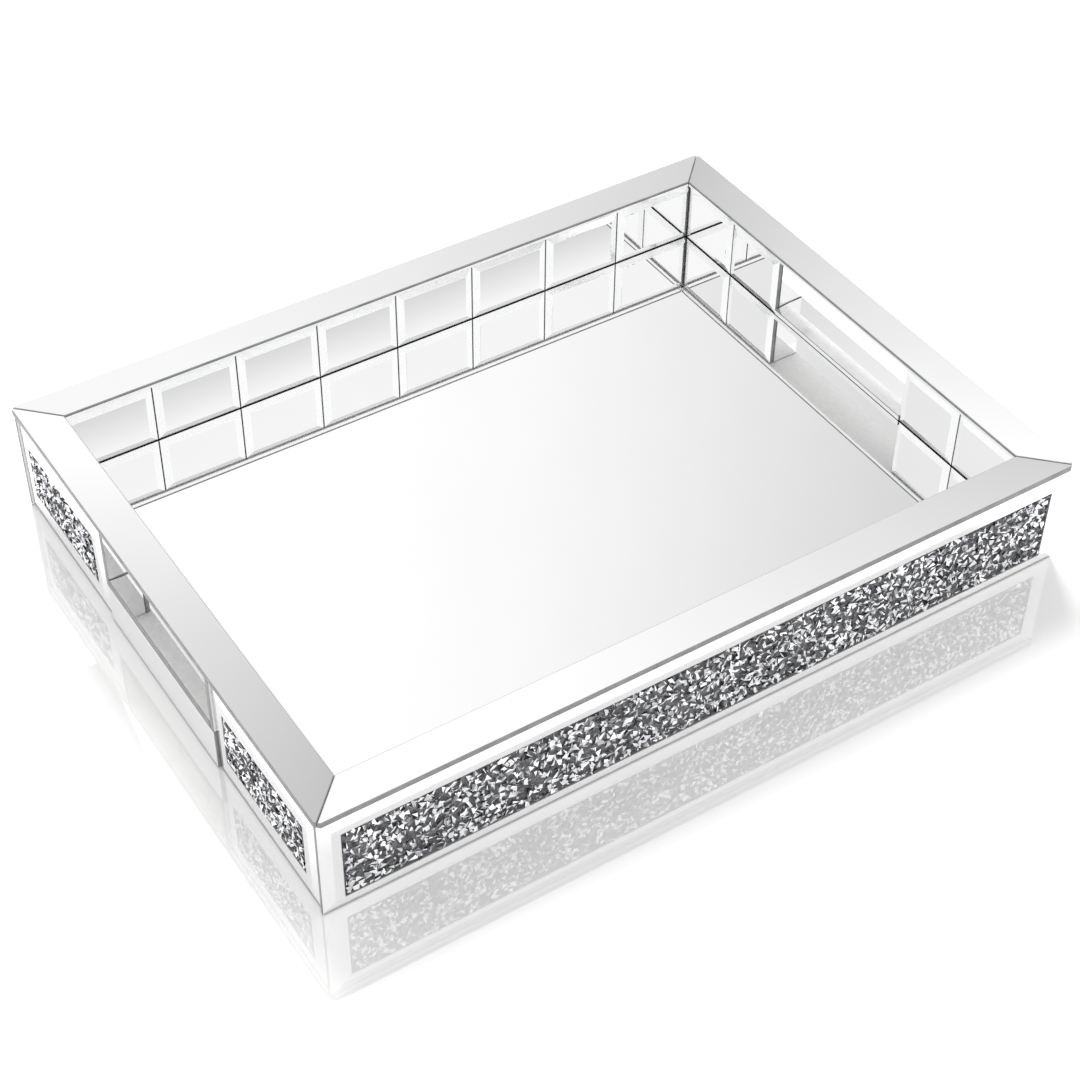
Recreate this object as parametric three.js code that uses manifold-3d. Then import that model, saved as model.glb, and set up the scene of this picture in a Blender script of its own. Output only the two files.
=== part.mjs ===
// A rectangular vanity tray faced all over with mirror glass.
//
// Four fibreboard walls stand round a fibreboard base. Bevelled mirror panels face the walls
// outside, and one row of bevelled mirror tiles faces them inside. Flat mirror strips, mitred at
// the corners, cap the walls. A plain mirror is the tray's floor, and its edges are tucked under
// the bevels of the tiles. Strips of crushed crystal fill windows in the outer panels. Each short
// wall has a hand opening, which reaches up to the rim and is lined with mirror strips.
//
// Units are millimetres. +X is along the length, +Y is from front to back and +Z is up. The origin
// is at the middle of the underside.

import * as THREE from 'three';
import { ConvexGeometry } from 'three/addons/geometries/ConvexGeometry.js';
import { mergeVertices } from 'three/addons/utils/BufferGeometryUtils.js';
import Module from 'manifold-3d';

const wasm = await Module();
wasm.setup();

// Overall sizes.
const TRAY_LENGTH = 400;
const TRAY_WIDTH = 300;
const TRAY_HEIGHT = 60;

// Stock thicknesses, each across the sheet.
const RIM_GLASS = 3;
const PANEL_GLASS = 3;
const TILE_GLASS = 3;
const FLOOR_GLASS = 3;
const LEDGE_GLASS = 4;
const JAMB_GLASS = 3;
const WALL_BOARD = 12;
const BASE_BOARD = 18;
const FELT = 1.5;

// Joints and clearances.
const GLUE_GAP = 0.3;
const TILE_JOINT = 0.3;
const MITRE_JOINT = 0.3;
const PANEL_LIFT = 0.6;
const PANEL_SETBACK = 0.6;
const FLOOR_TUCK = 0.3;
const FELT_INSET = 1.5;

// Edge work on the glass: the width of each bevel's face, and how far it falls at the edge.
const PANEL_BEVEL = 6;
const PANEL_BEVEL_DROP = 1.4;
const TILE_BEVEL = 4;
const TILE_BEVEL_DROP = 1.1;
const LEDGE_BEVEL = 8;
const LEDGE_BEVEL_DROP = 1.2;
const RIM_TIP_CLIP = 2;

// Crystal windows: the mirror border left at each end, and below and above the window.
const WINDOW_END_BORDER = 10.5;
const LONG_WALL_BORDER = { below: 6.5, above: 10 };
const SHORT_WALL_BORDER = { below: 14, above: 12.5 };

// Hand openings and tiles.
const HANDLE_WIDTH = 102;
const LONG_WALL_TILES = 8;
const TILES_BESIDE_HANDLE = 2;

// Layers of a wall, counted inwards from the rim's outer edge. The crystals stand out to that edge.
const panelInner = PANEL_SETBACK + PANEL_GLASS;
const coreOuter = panelInner + GLUE_GAP;
const coreInner = coreOuter + WALL_BOARD;
const wallThickness = coreInner + GLUE_GAP + TILE_GLASS;
const ledgeInner = wallThickness - FLOOR_TUCK - GLUE_GAP;

// Levels, counted up from the underside.
const boardBottom = FELT + GLUE_GAP;
const floorBottom = boardBottom + BASE_BOARD + GLUE_GAP;
const floorTop = floorBottom + FLOOR_GLASS;
const tileBottom = floorTop + GLUE_GAP;
const ledgeBottom = floorTop + GLUE_GAP;
const ledgeTop = ledgeBottom + LEDGE_GLASS;
const rimBottom = TRAY_HEIGHT - RIM_GLASS;
const wallTop = rimBottom - GLUE_GAP;

// Half lengths from the middle of the tray, or from the middle of a wall.
const halfLength = TRAY_LENGTH / 2;
const halfWidth = TRAY_WIDTH / 2;
const halfHandle = HANDLE_WIDTH / 2;
const halfLedge = halfHandle - GLUE_GAP;
const halfLining = halfHandle + JAMB_GLASS;
const halfNotch = halfLining + GLUE_GAP;

const mirrorFinish = { color: 0xe9eaec, roughness: 0.05, metalness: 1 };
const crystalFinish = { color: 0x8f9097, roughness: 0.15, metalness: 0.6 };
const boardFinish = { color: 0x26262a, roughness: 0.85, metalness: 0 };
const feltFinish = { color: 0x2c2c30, roughness: 1, metalness: 0 };

const tray = new THREE.Group();

function addPiece(parent, name, geometry, finish) {
  const piece = new THREE.Mesh(geometry, new THREE.MeshStandardMaterial(finish));
  piece.name = name;
  parent.add(piece);
  return piece;
}

// A box given by its low and high corners.
function slab(low, high) {
  const size = high.map((value, axis) => value - low[axis]);
  const middle = high.map((value, axis) => (value + low[axis]) / 2);
  return new THREE.BoxGeometry(...size).translate(...middle);
}

function toSolid(geometry) {
  const bare = geometry.clone();
  bare.deleteAttribute('normal');
  bare.deleteAttribute('uv');
  const merged = mergeVertices(bare);
  return new wasm.Manifold(new wasm.Mesh({
    numProp: 3,
    vertProperties: new Float32Array(merged.attributes.position.array),
    triVerts: new Uint32Array(merged.index.array),
  }));
}

function toGeometry(solid) {
  const mesh = solid.getMesh();
  const geometry = new THREE.BufferGeometry();
  geometry.setAttribute('position', new THREE.BufferAttribute(mesh.vertProperties, mesh.numProp));
  geometry.setIndex(new THREE.BufferAttribute(mesh.triVerts, 1));
  return geometry;
}

// A pane that stands on its edge: X runs across it, Y up it, and its polished face looks along +Z
// with its back on z = 0. All four edges of the face are bevelled.
function bevelledPane(left, right, bottom, top, glass, bevel, drop) {
  const corners = [];
  const ring = (inset, depth) => {
    for (const x of [left + inset, right - inset]) {
      for (const y of [bottom + inset, top - inset]) {
        corners.push(new THREE.Vector3(x, y, depth));
      }
    }
  };
  ring(0, 0);
  ring(0, glass - drop);
  ring(bevel, glass);
  return new ConvexGeometry(corners);
}

// A bevelled outer pane with a window in it, and the crystal inlay that fills the window.
function addWindowedPanel(wall, name, left, right, border) {
  const bottom = PANEL_LIFT;
  const top = wallTop;
  const pane = bevelledPane(left, right, bottom, top, PANEL_GLASS, PANEL_BEVEL, PANEL_BEVEL_DROP);
  const windowLow = [left + WINDOW_END_BORDER, bottom + border.below];
  const windowHigh = [right - WINDOW_END_BORDER, top - border.above];
  const cutter = slab([...windowLow, -PANEL_GLASS], [...windowHigh, 2 * PANEL_GLASS]);
  const panel = toGeometry(toSolid(pane).subtract(toSolid(cutter)));
  addPiece(wall, `${name}_outer_panel`, panel, mirrorFinish).position.z = -panelInner;

  const inlayLow = windowLow.map((value) => value + GLUE_GAP);
  const inlayHigh = windowHigh.map((value) => value - GLUE_GAP);
  const inlay = slab([...inlayLow, -panelInner], [...inlayHigh, 0]);
  addPiece(wall, `${name}_crystal_inlay`, inlay, crystalFinish);
}

// One row of inner tiles between two places along a wall. The tiles look into the tray. The
// row's end tiles reach past those places by overlap.
function addTiles(wall, name, from, to, count, overlap) {
  const pitch = (to - from + TILE_JOINT) / count;
  for (let index = 0; index < count; index += 1) {
    const start = from + index * pitch - (index === 0 ? overlap : 0);
    const end = from + (index + 1) * pitch - TILE_JOINT + (index === count - 1 ? overlap : 0);
    const pane = bevelledPane(-end, -start, tileBottom, wallTop, TILE_GLASS, TILE_BEVEL, TILE_BEVEL_DROP);
    const tile = addPiece(wall, `${name}_tile_${index + 1}`, pane, mirrorFinish);
    tile.rotation.y = Math.PI;
    tile.position.z = TILE_GLASS - wallThickness;
  }
}

// A wall's own frame: X runs along it, Y is up, and Z points out of the tray from the rim's edge.
function addWall(reach, turn) {
  const wall = new THREE.Group();
  wall.rotation.set(Math.PI / 2, 0, turn, 'ZYX');
  wall.position.set(reach * Math.sin(turn), -reach * Math.cos(turn), 0);
  tray.add(wall);
  return wall;
}

// A rim strip: a flat pane over one wall, mitred into its neighbours, with its sharp tips clipped.
function addRim(name, halfSpan, reach, turn) {
  const slip = MITRE_JOINT / Math.SQRT2;
  const tip = halfSpan - slip;
  const inner = tip - wallThickness;
  const outline = new THREE.Shape([
    new THREE.Vector2(-tip + RIM_TIP_CLIP, -reach),
    new THREE.Vector2(tip - RIM_TIP_CLIP, -reach),
    new THREE.Vector2(tip - RIM_TIP_CLIP / 2, -reach + RIM_TIP_CLIP / 2),
    new THREE.Vector2(inner, -reach + wallThickness),
    new THREE.Vector2(-inner, -reach + wallThickness),
    new THREE.Vector2(-tip + RIM_TIP_CLIP / 2, -reach + RIM_TIP_CLIP / 2),
  ]);
  const strip = new THREE.ExtrudeGeometry(outline, { depth: RIM_GLASS, bevelEnabled: false });
  const rim = addPiece(tray, `${name}_rim_mirror`, strip, mirrorFinish);
  rim.rotation.z = turn;
  rim.position.z = rimBottom;
}

// A long wall: a full-length core between the end panels, one outer panel and one row of tiles.
// The row's ends pass behind the tiles of the short walls.
function addLongWall(name, turn) {
  const wall = addWall(halfWidth, turn);
  const halfCore = halfLength - coreOuter;
  const core = slab([-halfCore, boardBottom, -coreInner], [halfCore, wallTop, -coreOuter]);
  addPiece(wall, `${name}_wall_core`, core, boardFinish);
  const halfPanel = halfLength - PANEL_SETBACK;
  addWindowedPanel(wall, name, -halfPanel, halfPanel, LONG_WALL_BORDER);
  const halfRow = halfLength - wallThickness - GLUE_GAP;
  addTiles(wall, name, -halfRow, halfRow, LONG_WALL_TILES, TILE_GLASS + GLUE_GAP);
  addRim(name, halfLength, halfWidth, turn);
}

// The core of a short wall stands between the long cores and is notched for the hand opening.
function notchedCore(halfCore) {
  const outline = new THREE.Shape([
    new THREE.Vector2(-halfCore, boardBottom),
    new THREE.Vector2(halfCore, boardBottom),
    new THREE.Vector2(halfCore, wallTop),
    new THREE.Vector2(halfNotch, wallTop),
    new THREE.Vector2(halfNotch, ledgeBottom - GLUE_GAP),
    new THREE.Vector2(-halfNotch, ledgeBottom - GLUE_GAP),
    new THREE.Vector2(-halfNotch, wallTop),
    new THREE.Vector2(-halfCore, wallTop),
  ]);
  const core = new THREE.ExtrudeGeometry(outline, { depth: WALL_BOARD, bevelEnabled: false });
  return core.translate(0, 0, -coreInner);
}

// The ledge under a hand opening crosses the wall and stops at the floor's edge. Its top is
// bevelled towards the tray.
function ledgeStrip() {
  const section = new THREE.Shape([
    new THREE.Vector2(-ledgeInner, ledgeBottom),
    new THREE.Vector2(-PANEL_SETBACK, ledgeBottom),
    new THREE.Vector2(-PANEL_SETBACK, ledgeTop),
    new THREE.Vector2(-ledgeInner + LEDGE_BEVEL, ledgeTop),
    new THREE.Vector2(-ledgeInner, ledgeTop - LEDGE_BEVEL_DROP),
  ]);
  const strip = new THREE.ExtrudeGeometry(section, { depth: 2 * halfLedge, bevelEnabled: false });
  return strip.translate(0, 0, -halfLedge).rotateY(-Math.PI / 2);
}

// A short wall: two outer panels and two groups of tiles, either side of the lined hand opening.
function addShortWall(name, turn, sides) {
  const wall = addWall(halfLength, turn);
  addPiece(wall, `${name}_wall_core`, notchedCore(halfWidth - coreInner - GLUE_GAP), boardFinish);
  addPiece(wall, `${name}_handle_ledge`, ledgeStrip(), mirrorFinish);
  const belowHigh = [halfLining, ledgeBottom - GLUE_GAP, -PANEL_SETBACK];
  const below = slab([-halfLining, PANEL_LIFT, -panelInner], belowHigh);
  addPiece(wall, `${name}_handle_lower_panel`, below, mirrorFinish);

  const panelEnd = halfWidth - panelInner - GLUE_GAP;
  const rowEnd = halfWidth - wallThickness - GLUE_GAP;
  sides.forEach((side, index) => {
    const direction = index === 0 ? -1 : 1;
    const span = (near, far) => [direction * near, direction * far].sort((a, b) => a - b);
    addWindowedPanel(wall, `${name}_${side}`, ...span(halfNotch, panelEnd), SHORT_WALL_BORDER);
    addTiles(wall, `${name}_${side}`, ...span(halfHandle, rowEnd), TILES_BESIDE_HANDLE, 0);
    const [jambLow, jambHigh] = span(halfHandle, halfLining);
    const jambOuter = [jambHigh, wallTop, -PANEL_SETBACK];
    const jamb = slab([jambLow, ledgeBottom, -coreInner], jambOuter);
    addPiece(wall, `${name}_${side}_handle_jamb`, jamb, mirrorFinish);
  });
  addRim(name, halfWidth, halfLength, turn);
}

function addBase() {
  const halfFelt = [halfLength, halfWidth].map((half) => half - panelInner - FELT_INSET);
  const felt = slab([-halfFelt[0], -halfFelt[1], 0], [halfFelt[0], halfFelt[1], FELT]);
  addPiece(tray, 'base_felt', felt, feltFinish);

  const halfBoard = [halfLength, halfWidth].map((half) => half - coreInner - GLUE_GAP);
  const boardTop = boardBottom + BASE_BOARD;
  const board = slab([-halfBoard[0], -halfBoard[1], boardBottom], [halfBoard[0], halfBoard[1], boardTop]);
  addPiece(tray, 'base_board', board, boardFinish);

  const halfFloor = [halfLength, halfWidth].map((half) => half - wallThickness + FLOOR_TUCK);
  const floorLow = [-halfFloor[0], -halfFloor[1], floorBottom];
  const floorHigh = [halfFloor[0], halfFloor[1], floorTop];
  addPiece(tray, 'floor_mirror', slab(floorLow, floorHigh), mirrorFinish);
}

addBase();
addLongWall('front', 0);
addShortWall('right', Math.PI / 2, ['front', 'back']);
addLongWall('back', Math.PI);
addShortWall('left', -Math.PI / 2, ['back', 'front']);

export default tray;
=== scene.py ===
"""Looks for a mirrored vanity tray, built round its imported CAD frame. Every length is in metres.

Each glass pane of the frame is rebuilt with ground edges, bevels, a silvered face and a painted
back. The crystal inlays become several thousand loose-set chips. The boards and the felt keep
their CAD shape and get their own materials.
"""

import math

import bmesh
import bpy
import numpy as np
from mathutils import Matrix, Quaternion, Vector


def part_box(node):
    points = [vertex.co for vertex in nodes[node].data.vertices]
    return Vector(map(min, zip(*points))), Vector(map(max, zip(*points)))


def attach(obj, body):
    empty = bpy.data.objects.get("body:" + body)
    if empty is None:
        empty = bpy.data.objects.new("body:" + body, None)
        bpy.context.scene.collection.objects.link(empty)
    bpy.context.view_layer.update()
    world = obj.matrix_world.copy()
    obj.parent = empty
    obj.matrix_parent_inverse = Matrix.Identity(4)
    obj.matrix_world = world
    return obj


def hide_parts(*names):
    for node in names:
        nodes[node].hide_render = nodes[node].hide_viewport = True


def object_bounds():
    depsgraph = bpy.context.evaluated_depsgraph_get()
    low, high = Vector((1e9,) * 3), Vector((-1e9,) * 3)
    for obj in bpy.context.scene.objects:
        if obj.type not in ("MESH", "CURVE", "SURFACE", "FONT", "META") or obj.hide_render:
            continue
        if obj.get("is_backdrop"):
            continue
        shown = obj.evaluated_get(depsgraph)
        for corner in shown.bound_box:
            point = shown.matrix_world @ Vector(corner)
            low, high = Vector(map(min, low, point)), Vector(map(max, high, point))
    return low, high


MM = 0.001
MICROMETRE_DIGITS = 6
UP = Vector((0, 0, 1))
OUTWARD = {
    "front": Vector((0, -1, 0)),
    "right": Vector((1, 0, 0)),
    "back": Vector((0, 1, 0)),
    "left": Vector((-1, 0, 0)),
}

# Edge work on the glass. SOFTENING rounds the line where a bevel meets the face.
ARRIS = 0.25 * MM
RIM_ARRIS = 0.4 * MM
RIM_GROUND_EDGE = 1.3 * MM
FLOOR_SPREAD = 0.5 * MM
SOFTENING = 0.12 * MM
PANEL_BEVEL = 6 * MM
PANEL_BEVEL_DROP = 1.4 * MM
TILE_BEVEL = 4 * MM
TILE_BEVEL_DROP = 1.1 * MM
LEDGE_BEVEL = 8 * MM
LEDGE_BEVEL_DROP = 1.2 * MM
WINDOW_GAP = 0.3 * MM

# Crushed crystal.
CHIP_SEED = 41
CHIP_SHAPES = 16
CHIP_SPACING = 2.7 * MM
CHIP_JITTER = 0.45
CHIP_CORNERS = (5, 8)
CHIP_RADIUS = (1.6 * MM, 2.6 * MM)
CHIP_DEPTH_SHARE = 0.5
CHIP_SETTLING = 0.25 * MM
BED_THICKNESS = 1.4 * MM
# The facet tones are painted reflections: base colours from dark to bright that stand in for the
# room a mirrored chip reflects.
CHIP_PAINTED_REFLECTIONS = (0.015, 0.07, 0.15, 0.3, 0.55, 0.8, 0.97, 1.0)
CHIP_PAINTED_REFLECTION_SHARES = (0.08, 0.08, 0.10, 0.11, 0.10, 0.11, 0.11, 0.31)
CHIP_METALLIC = 0.85
CHIP_ROUGHNESS = (0.2, 0.06)

# Camera: where it looks from, and how far the tray's origin lies off its axis.
LENS = 75.1
SENSOR_WIDTH = 36
CLIP_START = 0.01
CAMERA_AZIMUTH = math.radians(-33.35)
CAMERA_ELEVATION = math.radians(43.63)
CAMERA_ROLL = math.radians(0.76)
CAMERA_DISTANCE = 1.0958
CAMERA_RIGHT = 0.0020
CAMERA_RISE = -0.0053

# Studio. A bearing is counted from +Y towards +X.
TABLE_SIZE = 8
TABLE_LEVEL = -0.1 * MM
TABLE_WHITE = (0.9, 0.9, 0.895)
TABLE_ROUGHNESS = 0.015
TABLE_GLOSS = 0.25

# The sky is even but for two grey patches, given as the share of its level at each bearing in
# degrees. They begin at the patch foot and fade out towards the top, and the crown is dimmer.
SKY_LEVEL = 1.15
SKY_PATCH_FOOT = math.radians(14)
SKY_PATCH_FULL = math.radians(28)
SKY_CROWN_FOOT = math.radians(53)
SKY_CROWN_FULL = math.radians(63)
SKY_CROWN_LEVEL = 0.62
SKY_FADE_FOOT = math.radians(66)
SKY_FADE_FULL = math.radians(82)
SKY_BEARINGS = (
    (-180, 1.0),
    (-62, 1.0),
    (-45, 0.80),
    (-22, 0.80),
    (-5, 1.0),
    (20, 1.0),
    (28.5, 0.935),
    (34.1, 0.87),
    (39.6, 0.765),
    (45, 0.655),
    (60, 0.55),
    (95, 1.0),
    (180, 1.0),
)

# Square area lights, each with its bearing, elevation and power.
SOFTBOX_DISTANCE = 3.2
SOFTBOX_SIZE = 1.4
SOFTBOXES = {
    "softbox": (math.radians(20), math.radians(50), 130),
    "fill": (math.radians(200), math.radians(55), 9),
}

# A dark flag high over the back edge, which the lower bevels of the right-hand tiles pick up.
FLAG_BEARING = math.radians(1)
FLAG_ELEVATION = math.radians(53)
FLAG_DISTANCE = 2.4
FLAG_SIZE = 0.55
FLAG_LEVEL = 0.12

# A light card in front, which the back tiles pick up: its lower part is grey, its upper part white.
TILE_CARD_Y = -1.1
TILE_CARD_X = (0.2, 1.25)
TILE_CARD_LEVELS = (
    (1.035, 0.74),
    (1.073, 0.80),
    (1.105, 0.93),
    (1.140, 1.08),
    (1.165, 1.04),
    (1.260, 1.06),
)

# Light cards over the rim: each starts and ends at a corner, given by the signs of its X and Y,
# and glows from one level to another after an even first share.
RIM_CARD_HEIGHT = 1.2
RIM_CARD_MARGIN = 2 * MM
RIM_CARD_STEPS = 12
RIM_CARDS = {
    "left": ((-1, 1), (-1, -1), 1.13, 0.60, 0.05),
    "front": ((-1, -1), (1, -1), 1.10, 0.71, 0.26),
    "right": ((1, 1), (1, -1), 0.63, 1.10, 0.0),
    "back": ((-1, 1), (1, 1), 1.01, 0.73, 0.22),
}

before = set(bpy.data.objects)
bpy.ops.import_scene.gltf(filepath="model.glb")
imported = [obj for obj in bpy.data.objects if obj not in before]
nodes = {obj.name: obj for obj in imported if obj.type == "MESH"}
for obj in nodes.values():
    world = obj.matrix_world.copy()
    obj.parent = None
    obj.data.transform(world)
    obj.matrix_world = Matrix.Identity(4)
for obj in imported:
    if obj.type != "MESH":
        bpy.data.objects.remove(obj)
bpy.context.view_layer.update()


# ---------------------------------------------------------------- materials


def shader_of(material):
    return material.node_tree.nodes["Principled BSDF"]


def plain_material(name, colour, metallic, roughness):
    material = bpy.data.materials.new(name)
    material.use_nodes = True
    shader = shader_of(material)
    shader.inputs["Base Color"].default_value = (*colour, 1)
    shader.inputs["Metallic"].default_value = metallic
    shader.inputs["Roughness"].default_value = roughness
    material.diffuse_color = (*colour, 1)
    return material


def noise(material, scale, detail=3.0, stretch=(1, 1, 1)):
    """A noise pattern in the tray's own metres. Returns its output socket."""
    tree = material.node_tree
    place = tree.nodes.new("ShaderNodeTexCoord")
    mapping = tree.nodes.new("ShaderNodeMapping")
    mapping.inputs["Scale"].default_value = stretch
    texture = tree.nodes.new("ShaderNodeTexNoise")
    texture.inputs["Scale"].default_value = scale
    texture.inputs["Detail"].default_value = detail
    tree.links.new(place.outputs["Object"], mapping.inputs["Vector"])
    tree.links.new(mapping.outputs["Vector"], texture.inputs["Vector"])
    return texture.outputs["Fac"]


def vary_colour(material, pattern, dark, light, span=(0.3, 0.7)):
    tree = material.node_tree
    ramp = tree.nodes.new("ShaderNodeValToRGB")
    for element, share, colour in zip(ramp.color_ramp.elements, span, (dark, light)):
        element.position = share
        element.color = (*colour, 1)
    tree.links.new(pattern, ramp.inputs["Fac"])
    tree.links.new(ramp.outputs["Color"], shader_of(material).inputs["Base Color"])


def vary_roughness(material, pattern, smooth, rough, span=(0.35, 0.75)):
    tree = material.node_tree
    remap = tree.nodes.new("ShaderNodeMapRange")
    remap.inputs["From Min"].default_value = span[0]
    remap.inputs["From Max"].default_value = span[1]
    remap.inputs["To Min"].default_value = smooth
    remap.inputs["To Max"].default_value = rough
    tree.links.new(pattern, remap.inputs["Value"])
    tree.links.new(remap.outputs["Result"], shader_of(material).inputs["Roughness"])


def add_bump(material, pattern, depth, strength=1.0):
    tree = material.node_tree
    bump = tree.nodes.new("ShaderNodeBump")
    bump.inputs["Strength"].default_value = strength
    bump.inputs["Distance"].default_value = depth
    tree.links.new(pattern, bump.inputs["Height"])
    tree.links.new(bump.outputs["Normal"], shader_of(material).inputs["Normal"])


def silver_mirror():
    """Silvered float glass: a faint film of dust, and the slow waves of float glass."""
    material = plain_material("silver_mirror", (0.93, 0.93, 0.935), 1.0, 0.012)
    vary_colour(material, noise(material, 22), (0.925, 0.925, 0.93), (0.94, 0.94, 0.94))
    vary_roughness(material, noise(material, 260, 6), 0.004, 0.022)
    add_bump(material, noise(material, 9, 1), 0.004 * MM)
    return material


def bevel_mirror():
    """The ground and repolished slope of a bevel: a softer image under a pale grinding haze."""
    material = plain_material("bevel_mirror", (0.95, 0.95, 0.955), 0.8, 0.16)
    vary_colour(material, noise(material, 60), (0.93, 0.935, 0.94), (0.97, 0.97, 0.97))
    vary_roughness(material, noise(material, 400, 5), 0.12, 0.2)
    return material


def glass_edge():
    """A ground edge of clear glass over a dark glue line, seen end on."""
    material = plain_material("glass_edge", (0.2, 0.205, 0.2), 0.0, 0.35)
    vary_colour(material, noise(material, 120, 4), (0.17, 0.176, 0.172), (0.25, 0.256, 0.25))
    vary_roughness(material, noise(material, 300), 0.28, 0.45)
    return material


def backing_paint():
    """The pale grey paint that seals the silver on the back of a mirror."""
    material = plain_material("backing_paint", (0.74, 0.74, 0.735), 0.0, 0.5)
    vary_colour(material, noise(material, 500, 5), (0.71, 0.71, 0.705), (0.77, 0.77, 0.765))
    vary_roughness(material, noise(material, 500), 0.42, 0.6)
    add_bump(material, noise(material, 1800, 4), 0.01 * MM)
    return material


def crystal_bed():
    """The dark resin that holds the chips."""
    material = plain_material("crystal_bed", (0.12, 0.12, 0.13), 0.0, 0.35)
    vary_colour(material, noise(material, 900, 4), (0.04, 0.04, 0.045), (0.25, 0.25, 0.26))
    vary_roughness(material, noise(material, 700), 0.2, 0.6)
    add_bump(material, noise(material, 1200, 4), 0.15 * MM)
    return material


def painted_reflection_tones():
    """One material for each tone that a chip's facet can take. Each tone is a painted reflection, a
    dark or bright base colour in place of the room that the mirrored chips reflect.
    """
    painted_reflection_materials = []
    for index, tone in enumerate(CHIP_PAINTED_REFLECTIONS):
        colour = (tone * 0.98, tone * 0.985, min(1.0, tone * 1.03))
        share = index / (len(CHIP_PAINTED_REFLECTIONS) - 1)
        roughness = CHIP_ROUGHNESS[0] + (CHIP_ROUGHNESS[1] - CHIP_ROUGHNESS[0]) * share
        painted_reflection_materials.append(plain_material(f"crystal_facet_painted_reflection_{index + 1}", colour, CHIP_METALLIC, roughness))
    return painted_reflection_materials


def fibreboard():
    """Black-dyed fibreboard: fine pressed fibres, paler flecks and a slight nap."""
    material = plain_material("fibreboard", (0.035, 0.035, 0.04), 0.0, 0.85)
    fibres = noise(material, 700, 8, stretch=(1, 1, 3))
    vary_colour(material, fibres, (0.018, 0.018, 0.02), (0.065, 0.063, 0.062))
    vary_roughness(material, noise(material, 300), 0.75, 0.95)
    add_bump(material, noise(material, 1500, 6), 0.12 * MM)
    return material


def felt():
    """Needle felt: matted dark fibres with a soft sheen."""
    material = plain_material("felt", (0.03, 0.03, 0.034), 0.0, 1.0)
    shader_of(material).inputs["Sheen Weight"].default_value = 0.5
    shader_of(material).inputs["Sheen Roughness"].default_value = 0.6
    matted = noise(material, 1400, 9)
    vary_colour(material, matted, (0.012, 0.012, 0.014), (0.075, 0.075, 0.085))
    vary_roughness(material, noise(material, 500), 0.85, 1.0)
    add_bump(material, noise(material, 2200, 8), 0.4 * MM)
    return material


GLASS = [silver_mirror(), bevel_mirror(), glass_edge(), backing_paint()]
FACE, BEVEL, EDGE, BACK = range(len(GLASS))
BED = crystal_bed()


# ---------------------------------------------------------------- panes


def add_mesh(name, points, faces, materials, face_materials, matrix=Matrix.Identity(4)):
    mesh = bpy.data.meshes.new(name)
    mesh.from_pydata([matrix @ Vector(point) for point in points], [], faces)
    for material in materials:
        mesh.materials.append(material)
    mesh.polygons.foreach_set("material_index", face_materials)
    mesh.update()
    piece = bpy.data.objects.new(name, mesh)
    bpy.context.scene.collection.objects.link(piece)
    return piece


def ring_solid(rings, bands, caps=None):
    """Points and faces of a closed solid whose surface runs from ring to ring.

    bands holds one material for each step between rings. With caps, the first and last rings
    are closed by flat faces. Without, the last band joins the last ring to the first.
    """
    count = len(rings[0])
    points = [point for ring in rings for point in ring]
    faces = []
    materials = []
    for band, material in enumerate(bands):
        low = band * count
        high = (band + 1) % len(rings) * count
        for corner in range(count):
            following = (corner + 1) % count
            faces.append((low + corner, low + following, high + following, high + corner))
            materials.append(material)
    if caps:
        faces.append(tuple(reversed(range(count))))
        faces.append(tuple(range(len(points) - count, len(points))))
        materials.extend(caps)
    return points, faces, materials


def place_pane(node, out, up):
    """Width, height and thickness of a CAD pane, and the matrix that stands a pane in its place.

    The pane's own X runs across it and its Y along up. Its back lies on Z = 0, and it faces out.
    """
    low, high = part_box(node)
    across = up.cross(out)
    sizes = [abs((high - low).dot(axis)) for axis in (across, up, out)]
    matrix = Matrix((across, up, out)).transposed().to_4x4()
    matrix.translation = (low + high) / 2 - out * sizes[2] / 2
    return sizes, matrix


def rectangle(width, height, inset_x, inset_y, depth):
    x = width / 2 - inset_x
    y = height / 2 - inset_y
    return [(-x, -y, depth), (x, -y, depth), (x, y, depth), (-x, y, depth)]


def bevelled_rings(sizes, bevel, drop):
    """Rings from the ground back edge, up the side, over the bevel and onto the face."""
    width, height, glass = sizes
    slope = drop / bevel
    side = glass - drop
    steps = [
        (ARRIS, 0),
        (0, ARRIS),
        (0, side - ARRIS),
        (ARRIS, side + ARRIS * slope),
        (bevel - SOFTENING, glass - SOFTENING * slope),
        (bevel + SOFTENING, glass),
    ]
    return [rectangle(width, height, inset, inset, depth) for inset, depth in steps]


def keep_place(piece, node):
    """Makes a piece stand for its CAD node."""
    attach(piece, "root")
    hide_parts(node)


def add_glass(node, rings, bands, caps, matrix=Matrix.Identity(4), polished=()):
    """A glass piece. polished lists the faces, by band and side, that are polished as bevels."""
    points, faces, materials = ring_solid(rings, bands, caps)
    for band, side in polished:
        materials[band * len(rings[0]) + side] = BEVEL
    piece = add_mesh(f"{node}_glass", points, faces, GLASS, materials, matrix)
    keep_place(piece, node)


def add_bevelled_pane(node, out, bevel, drop):
    sizes, matrix = place_pane(node, out, UP)
    rings = bevelled_rings(sizes, bevel, drop)
    add_glass(node, rings, [EDGE, EDGE, EDGE, BEVEL, FACE], [BACK, FACE], matrix)


def add_flat_pane(node, out, up, spread=0.0):
    """A plain pane, which may reach a little past its CAD node to close the joint round it."""
    sizes, matrix = place_pane(node, out, up)
    width, height = sizes[0] + 2 * spread, sizes[1] + 2 * spread
    glass = sizes[2]
    steps = [(ARRIS, 0), (0, ARRIS), (0, glass - ARRIS), (ARRIS, glass)]
    rings = [rectangle(width, height, inset, inset, depth) for inset, depth in steps]
    add_glass(node, rings, [EDGE, EDGE, EDGE], [BACK, FACE], matrix)


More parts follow.
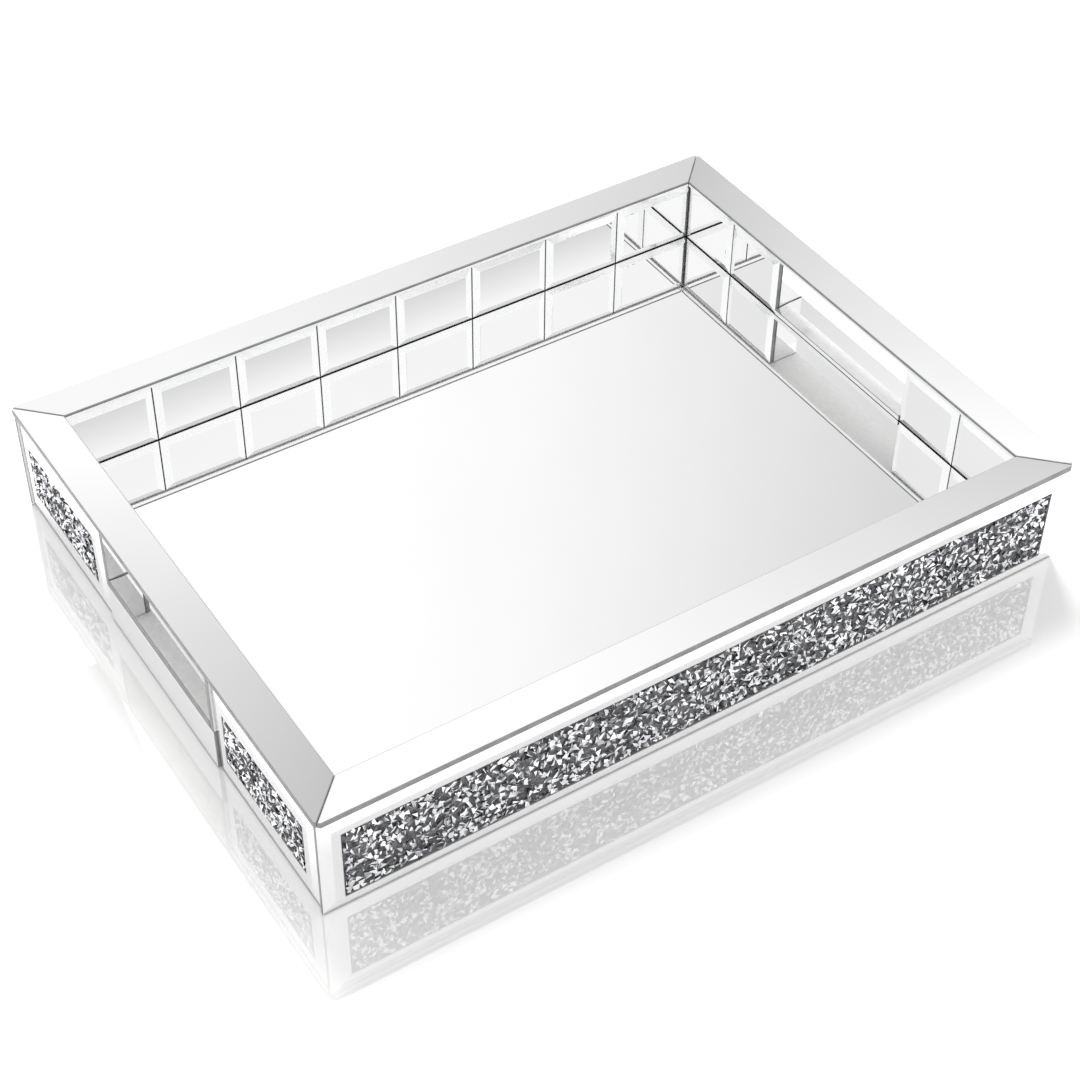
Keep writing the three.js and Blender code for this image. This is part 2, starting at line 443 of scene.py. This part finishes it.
def add_windowed_pane(node, inlay, out):
    """A bevelled pane with a window a small gap larger than its crystal inlay."""
    sizes, matrix = place_pane(node, out, UP)
    inlay_sizes, inlay_matrix = place_pane(inlay, out, UP)
    offset = matrix.inverted() @ inlay_matrix.translation
    glass = sizes[2]
    rings = bevelled_rings(sizes, PANEL_BEVEL, PANEL_BEVEL_DROP)
    for grown, depth in ((ARRIS, glass), (0, glass - ARRIS), (0, 0)):
        growth = -WINDOW_GAP - grown
        window = rectangle(inlay_sizes[0], inlay_sizes[1], growth, growth, depth)
        rings.append([(x + offset.x, y + offset.y, z) for x, y, z in window])
    bands = [EDGE, EDGE, EDGE, BEVEL, FACE, FACE, EDGE, EDGE, BACK]
    add_glass(node, rings, bands, None, matrix)


def add_ledge(node, outward):
    """A strip that crosses the wall. Its edge towards the tray is bevelled on top and polished."""
    (width, height, glass), matrix = place_pane(node, UP, outward)

    def ring(inset, inner_inset, depth, inner_depth):
        x = width / 2 - inset
        inner = -height / 2 + inner_inset
        outer = height / 2 - inset
        inner_edge = [(-x, inner, inner_depth), (x, inner, inner_depth)]
        return inner_edge + [(x, outer, depth), (-x, outer, depth)]

    lip = glass - LEDGE_BEVEL_DROP
    rings = [
        ring(ARRIS, ARRIS, 0, 0),
        ring(0, 0, ARRIS, ARRIS),
        ring(0, 0, glass - ARRIS, lip - ARRIS),
        ring(ARRIS, ARRIS, glass, lip),
        ring(2 * ARRIS, LEDGE_BEVEL, glass, glass),
    ]
    polished = [(0, 0), (1, 0)]
    add_glass(node, rings, [EDGE, EDGE, EDGE, BEVEL], [BACK, FACE], matrix, polished)


def inset_outline(outline, distance):
    """A convex outline, listed anticlockwise, with every side moved inwards."""
    moved = []
    count = len(outline)
    for index, corner in enumerate(outline):
        before = (corner - outline[index - 1]).normalized()
        after = (outline[(index + 1) % count] - corner).normalized()
        inward = Vector((-before.y - after.y, before.x + after.x)).normalized()
        half_turn = inward.dot(Vector((-before.y, before.x)))
        moved.append(corner + inward * distance / half_turn)
    return moved


def rim_outline(node):
    """The outline of a rim strip, taken from its CAD corners, anticlockwise."""
    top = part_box(node)[1].z
    corners = {
        (round(vertex.co.x, MICROMETRE_DIGITS), round(vertex.co.y, MICROMETRE_DIGITS))
        for vertex in nodes[node].data.vertices
        if vertex.co.z > top - ARRIS
    }
    corners = [Vector(corner) for corner in sorted(corners)]
    middle = sum(corners, Vector((0, 0))) / len(corners)
    return sorted(corners, key=lambda corner: math.atan2(corner.y - middle.y, corner.x - middle.x))


def add_rim(node):
    """A rim strip. The lower part of its edge over the tiles is polished, the rest is ground."""
    low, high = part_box(node)
    outline = rim_outline(node)
    levels = [
        (ARRIS, low.z),
        (0, low.z + ARRIS),
        (0, high.z - RIM_GROUND_EDGE),
        (0, high.z - ARRIS),
        (RIM_ARRIS, high.z),
    ]
    rings = [[(*corner, z) for corner in inset_outline(outline, inset)] for inset, z in levels]
    following = outline[1:] + outline[:1]
    reaches = [(start + end).length for start, end in zip(outline, following)]
    inner_side = reaches.index(min(reaches))
    polished = [(0, inner_side), (1, inner_side)]
    add_glass(node, rings, [EDGE] * 4, [BACK, FACE], polished=polished)


# ---------------------------------------------------------------- crushed crystal


def chip_shape(random):
    """A convex chip with triangular facets, about one unit in radius."""
    corners = random.normal(size=(random.randint(*CHIP_CORNERS), 3))
    corners /= np.linalg.norm(corners, axis=1)[:, None]
    hull = bmesh.new()
    for corner in corners:
        hull.verts.new(corner)
    bmesh.ops.convex_hull(hull, input=hull.verts)
    bmesh.ops.recalc_face_normals(hull, faces=hull.faces)
    hull.verts.index_update()
    facets = [[vertex.index for vertex in face.verts] for face in hull.faces]
    hull.free()
    return corners, np.array(facets)


def scatter_chips(width, height, depth, shapes, random):
    """Points of each chip, and which shape it has, over an area centred on the origin."""
    columns = round(width / CHIP_SPACING)
    rows = round(height / CHIP_SPACING)
    limit = np.array([width / 2, height / 2])
    pitch = 2 * limit / (columns, rows)
    chips = []
    for column in range(columns):
        for row in range(rows):
            kind = random.randint(len(shapes))
            radius = random.uniform(*CHIP_RADIUS, size=3) * (1, 1, CHIP_DEPTH_SHARE)
            turn = np.array(Quaternion(random.normal(size=4)).normalized().to_matrix())
            chip = shapes[kind][0] @ turn * radius
            cell = np.array([column, row]) + 0.5 + random.uniform(-CHIP_JITTER, CHIP_JITTER, size=2)
            chip[:, :2] += cell * pitch - limit
            chip[:, :2] += np.maximum(0, -limit - chip[:, :2].min(0))
            chip[:, :2] -= np.maximum(0, chip[:, :2].max(0) - limit)
            chip[:, 2] += depth - random.uniform(0, CHIP_SETTLING) - chip[:, 2].max()
            chips.append((chip, shapes[kind][1]))
    return chips


def add_crystals(inlay, out, shapes, painted_reflection_materials, random):
    """Chips set close together on a bed, inside the inlay's CAD box."""
    (width, height, depth), matrix = place_pane(inlay, out, UP)
    chips = scatter_chips(width, height, depth, shapes, random)
    starts = np.cumsum([0] + [len(points) for points, facets in chips[:-1]])
    points = np.concatenate([points for points, facets in chips])
    facets = np.concatenate([chip[1] + start for start, chip in zip(starts, chips)])
    # Each facet takes a painted reflection tone at random.
    facet_painted_reflections = random.choice(len(painted_reflection_materials), size=len(facets), p=CHIP_PAINTED_REFLECTION_SHARES)
    piece = add_mesh(f"{inlay}_chips", points, facets.tolist(), painted_reflection_materials, facet_painted_reflections, matrix)
    keep_place(piece, inlay)

    bed_steps = [(0, 0), (0, BED_THICKNESS)]
    bed_rings = [rectangle(width, height, inset, inset, level) for inset, level in bed_steps]
    bed_points, bed_faces, bed_materials = ring_solid(bed_rings, [0], [0, 0])
    bed = add_mesh(f"{inlay}_bed", bed_points, bed_faces, [BED], bed_materials, matrix)
    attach(bed, "root")


# ---------------------------------------------------------------- the tray


def build_walls():
    random = np.random.RandomState(CHIP_SEED)
    shapes = [chip_shape(random) for index in range(CHIP_SHAPES)]
    painted_reflection_materials = painted_reflection_tones()

    for wall, outward in OUTWARD.items():
        is_short = wall in ("left", "right")
        groups = [f"{wall}_front", f"{wall}_back"] if is_short else [wall]
        for group in groups:
            add_windowed_pane(f"{group}_outer_panel", f"{group}_crystal_inlay", outward)
            add_crystals(f"{group}_crystal_inlay", outward, shapes, painted_reflection_materials, random)
        add_rim(f"{wall}_rim_mirror")
        if is_short:
            add_ledge(f"{wall}_handle_ledge", outward)
            add_flat_pane(f"{wall}_handle_lower_panel", outward, UP)
            add_flat_pane(f"{wall}_front_handle_jamb", OUTWARD["back"], UP)
            add_flat_pane(f"{wall}_back_handle_jamb", OUTWARD["front"], UP)
        for node in sorted(nodes):
            if node.startswith(f"{wall}_") and "_tile_" in node:
                add_bevelled_pane(node, -outward, TILE_BEVEL, TILE_BEVEL_DROP)


def finish_boards():
    board = fibreboard()
    for node in ["base_board"] + [f"{wall}_wall_core" for wall in OUTWARD]:
        nodes[node].data.materials.clear()
        nodes[node].data.materials.append(board)
    nodes["base_felt"].data.materials.clear()
    nodes["base_felt"].data.materials.append(felt())


# ---------------------------------------------------------------- studio


def bearing_direction(bearing, elevation):
    """The unit vector that points from the tray to a place in the studio."""
    level = math.cos(elevation)
    return Vector((math.sin(bearing) * level, math.cos(bearing) * level, math.sin(elevation)))


def camera_axes():
    """Right, up and back directions of the camera."""
    back = Vector((
        math.sin(CAMERA_AZIMUTH) * math.cos(CAMERA_ELEVATION),
        -math.cos(CAMERA_AZIMUTH) * math.cos(CAMERA_ELEVATION),
        math.sin(CAMERA_ELEVATION),
    ))
    level = UP.cross(back).normalized()
    upright = back.cross(level)
    right = level * math.cos(CAMERA_ROLL) + upright * math.sin(CAMERA_ROLL)
    return right, back.cross(right), back


def add_camera():
    """Sets up the camera and returns where it stands."""
    right, rise, back = camera_axes()
    data = bpy.data.cameras.new("camera")
    data.lens = LENS
    data.sensor_width = SENSOR_WIDTH
    data.clip_start = CLIP_START
    camera = bpy.data.objects.new("camera", data)
    matrix = Matrix((right, rise, back)).transposed().to_4x4()
    matrix.translation = back * CAMERA_DISTANCE + right * CAMERA_RIGHT + rise * CAMERA_RISE
    camera.matrix_world = matrix
    bpy.context.scene.collection.objects.link(camera)
    bpy.context.scene.camera = camera
    return matrix.translation


def add_table():
    """A pale, glossy table top: mostly matt white, with a dim mirror image."""
    corners = rectangle(TABLE_SIZE, TABLE_SIZE, 0, 0, TABLE_LEVEL)
    material = bpy.data.materials.new("table")
    material.use_nodes = True
    tree = material.node_tree
    tree.nodes.clear()
    matt = tree.nodes.new("ShaderNodeBsdfDiffuse")
    matt.inputs["Color"].default_value = (*TABLE_WHITE, 1)
    gloss = tree.nodes.new("ShaderNodeBsdfGlossy")
    gloss.inputs["Roughness"].default_value = TABLE_ROUGHNESS
    blend = tree.nodes.new("ShaderNodeMixShader")
    blend.inputs["Fac"].default_value = TABLE_GLOSS
    output = tree.nodes.new("ShaderNodeOutputMaterial")
    tree.links.new(matt.outputs["BSDF"], blend.inputs[1])
    tree.links.new(gloss.outputs["BSDF"], blend.inputs[2])
    tree.links.new(blend.outputs["Shader"], output.inputs["Surface"])
    table = add_mesh("table", corners, [(0, 1, 2, 3)], [material], [0])
    table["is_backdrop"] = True


def elevation_step(tree, height, foot, full, low, high):
    """A socket that goes smoothly from low to high between two elevations of the sky."""
    step = tree.nodes.new("ShaderNodeMapRange")
    step.interpolation_type = "SMOOTHSTEP"
    step.inputs["From Min"].default_value = math.sin(foot)
    step.inputs["From Max"].default_value = math.sin(full)
    step.inputs["To Min"].default_value = low
    step.inputs["To Max"].default_value = high
    tree.links.new(height, step.inputs["Value"])
    return step.outputs["Result"]


def add_sky():
    """A white sky, dimmer overhead, with two soft grey patches that the mirrors pick up."""
    world = bpy.data.worlds.new("sky")
    world.use_nodes = True
    bpy.context.scene.world = world
    tree = world.node_tree
    background = tree.nodes["Background"]

    place = tree.nodes.new("ShaderNodeTexCoord")
    parts = tree.nodes.new("ShaderNodeSeparateXYZ")
    tree.links.new(place.outputs["Generated"], parts.inputs["Vector"])
    bearing = tree.nodes.new("ShaderNodeMath")
    bearing.operation = "ARCTAN2"
    tree.links.new(parts.outputs["X"], bearing.inputs[0])
    tree.links.new(parts.outputs["Y"], bearing.inputs[1])
    turn_share = tree.nodes.new("ShaderNodeMapRange")
    turn_share.inputs["From Min"].default_value = -math.pi
    turn_share.inputs["From Max"].default_value = math.pi
    tree.links.new(bearing.outputs["Value"], turn_share.inputs["Value"])

    ramp = tree.nodes.new("ShaderNodeValToRGB")
    elements = ramp.color_ramp.elements
    while len(elements) < len(SKY_BEARINGS):
        elements.new(0.5)
    for element, (degrees, level) in zip(elements, SKY_BEARINGS):
        element.position = (degrees + 180) / 360
        element.color = (level, level, level, 1)
    tree.links.new(turn_share.outputs["Result"], ramp.inputs["Fac"])

    height = parts.outputs["Z"]
    rise = elevation_step(tree, height, SKY_PATCH_FOOT, SKY_PATCH_FULL, 0, 1)
    fade = elevation_step(tree, height, SKY_FADE_FOOT, SKY_FADE_FULL, 1, 0)
    patch_share = tree.nodes.new("ShaderNodeMath")
    patch_share.operation = "MULTIPLY"
    tree.links.new(rise, patch_share.inputs[0])
    tree.links.new(fade, patch_share.inputs[1])
    mix = tree.nodes.new("ShaderNodeMix")
    mix.data_type = "RGBA"
    colours = [socket for socket in mix.inputs if socket.type == "RGBA"]
    colours[0].default_value = (1, 1, 1, 1)
    tree.links.new(patch_share.outputs["Value"], mix.inputs["Factor"])
    tree.links.new(ramp.outputs["Color"], colours[1])
    patched = [socket for socket in mix.outputs if socket.type == "RGBA"][0]

    dimmed = SKY_LEVEL * SKY_CROWN_LEVEL
    strength = elevation_step(tree, height, SKY_CROWN_FOOT, SKY_CROWN_FULL, SKY_LEVEL, dimmed)
    tree.links.new(patched, background.inputs["Color"])
    tree.links.new(strength, background.inputs["Strength"])


def glow_material(name):
    """A light card whose glow is stored in its mesh."""
    material = bpy.data.materials.new(name)
    material.use_nodes = True
    tree = material.node_tree
    tree.nodes.clear()
    stored = tree.nodes.new("ShaderNodeAttribute")
    stored.attribute_name = "glow"
    emission = tree.nodes.new("ShaderNodeEmission")
    output = tree.nodes.new("ShaderNodeOutputMaterial")
    tree.links.new(stored.outputs["Color"], emission.inputs["Color"])
    tree.links.new(emission.outputs["Emission"], output.inputs["Surface"])
    return material


def add_card(name, edges, glows):
    """A strip of light through a row of edges, each a pair of points with its own glow."""
    points = [point for edge in edges for point in edge]
    steps = len(edges) - 1
    faces = [(2 * index, 2 * index + 2, 2 * index + 3, 2 * index + 1) for index in range(steps)]
    card = add_mesh(name, points, faces, [glow_material(name)], [0] * steps)
    layer = card.data.color_attributes.new("glow", "FLOAT_COLOR", "POINT")
    for index, item in enumerate(layer.data):
        glow = glows[index // 2]
        item.color = (glow, glow, glow, 1)
    card.visible_diffuse = False
    card.visible_shadow = False
    card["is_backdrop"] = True


def add_rim_cards(eye):
    """Overhead cards, each of which fills the mirror image in one rim strip seen from eye."""
    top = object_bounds()[1]
    mirrored_eye = Vector((eye.x, eye.y, 2 * top.z - eye.z))
    inner = Vector((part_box("left_rim_mirror")[1].x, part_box("front_rim_mirror")[1].y))

    def corner(side_x, side_y, is_outer):
        edge = Vector((top.x, top.y)) if is_outer else Vector((abs(inner.x), abs(inner.y)))
        margin = RIM_CARD_MARGIN if is_outer else -RIM_CARD_MARGIN
        point = Vector((side_x * (edge.x + margin), side_y * (edge.y + margin), top.z))
        reach = (RIM_CARD_HEIGHT - mirrored_eye.z) / (top.z - mirrored_eye.z)
        return mirrored_eye + (point - mirrored_eye) * reach

    for wall, (start, end, first_glow, last_glow, hold) in RIM_CARDS.items():
        start_edge = [corner(*start, is_outer) for is_outer in (True, False)]
        end_edge = [corner(*end, is_outer) for is_outer in (True, False)]
        edges = []
        glows = []
        for index in range(RIM_CARD_STEPS + 1):
            share = index / RIM_CARD_STEPS
            edges.append([near.lerp(far, share) for near, far in zip(start_edge, end_edge)])
            glows.append(first_glow + (last_glow - first_glow) * max(0, share - hold) / (1 - hold))
        add_card(f"{wall}_rim_card", edges, glows)


def add_tile_card():
    """The card in front of the tray."""
    edges = [[Vector((x, TILE_CARD_Y, z)) for x in TILE_CARD_X] for z, glow in TILE_CARD_LEVELS]
    add_card("tile_card", edges, [glow for z, glow in TILE_CARD_LEVELS])


def add_flag():
    """The dark flag, a square card that faces the tray."""
    direction = bearing_direction(FLAG_BEARING, FLAG_ELEVATION)
    across = UP.cross(direction).normalized() * FLAG_SIZE / 2
    rise = direction.cross(across.normalized()) * FLAG_SIZE / 2
    middle = direction * FLAG_DISTANCE
    edges = [[middle + side * across + level * rise for side in (-1, 1)] for level in (-1, 1)]
    add_card("bevel_flag", edges, [FLAG_LEVEL, FLAG_LEVEL])


def add_softboxes():
    """The main light behind the tray, and a weaker one that fills the tray's shadow in front."""
    for name, (bearing, elevation, power) in SOFTBOXES.items():
        data = bpy.data.lights.new(name, "AREA")
        data.shape = "SQUARE"
        data.size = SOFTBOX_SIZE
        data.energy = power
        lamp = bpy.data.objects.new(name, data)
        direction = bearing_direction(bearing, elevation)
        lamp.rotation_euler = direction.to_track_quat("Z", "Y").to_euler()
        lamp.location = direction * SOFTBOX_DISTANCE
        lamp.visible_glossy = False
        bpy.context.scene.collection.objects.link(lamp)


# ---------------------------------------------------------------- build and finish


build_walls()
add_flat_pane("floor_mirror", UP, OUTWARD["back"], FLOOR_SPREAD)
finish_boards()
add_table()
add_sky()
add_rim_cards(add_camera())
add_tile_card()
add_flag()
add_softboxes()
bpy.context.scene.view_settings.view_transform = "Standard"
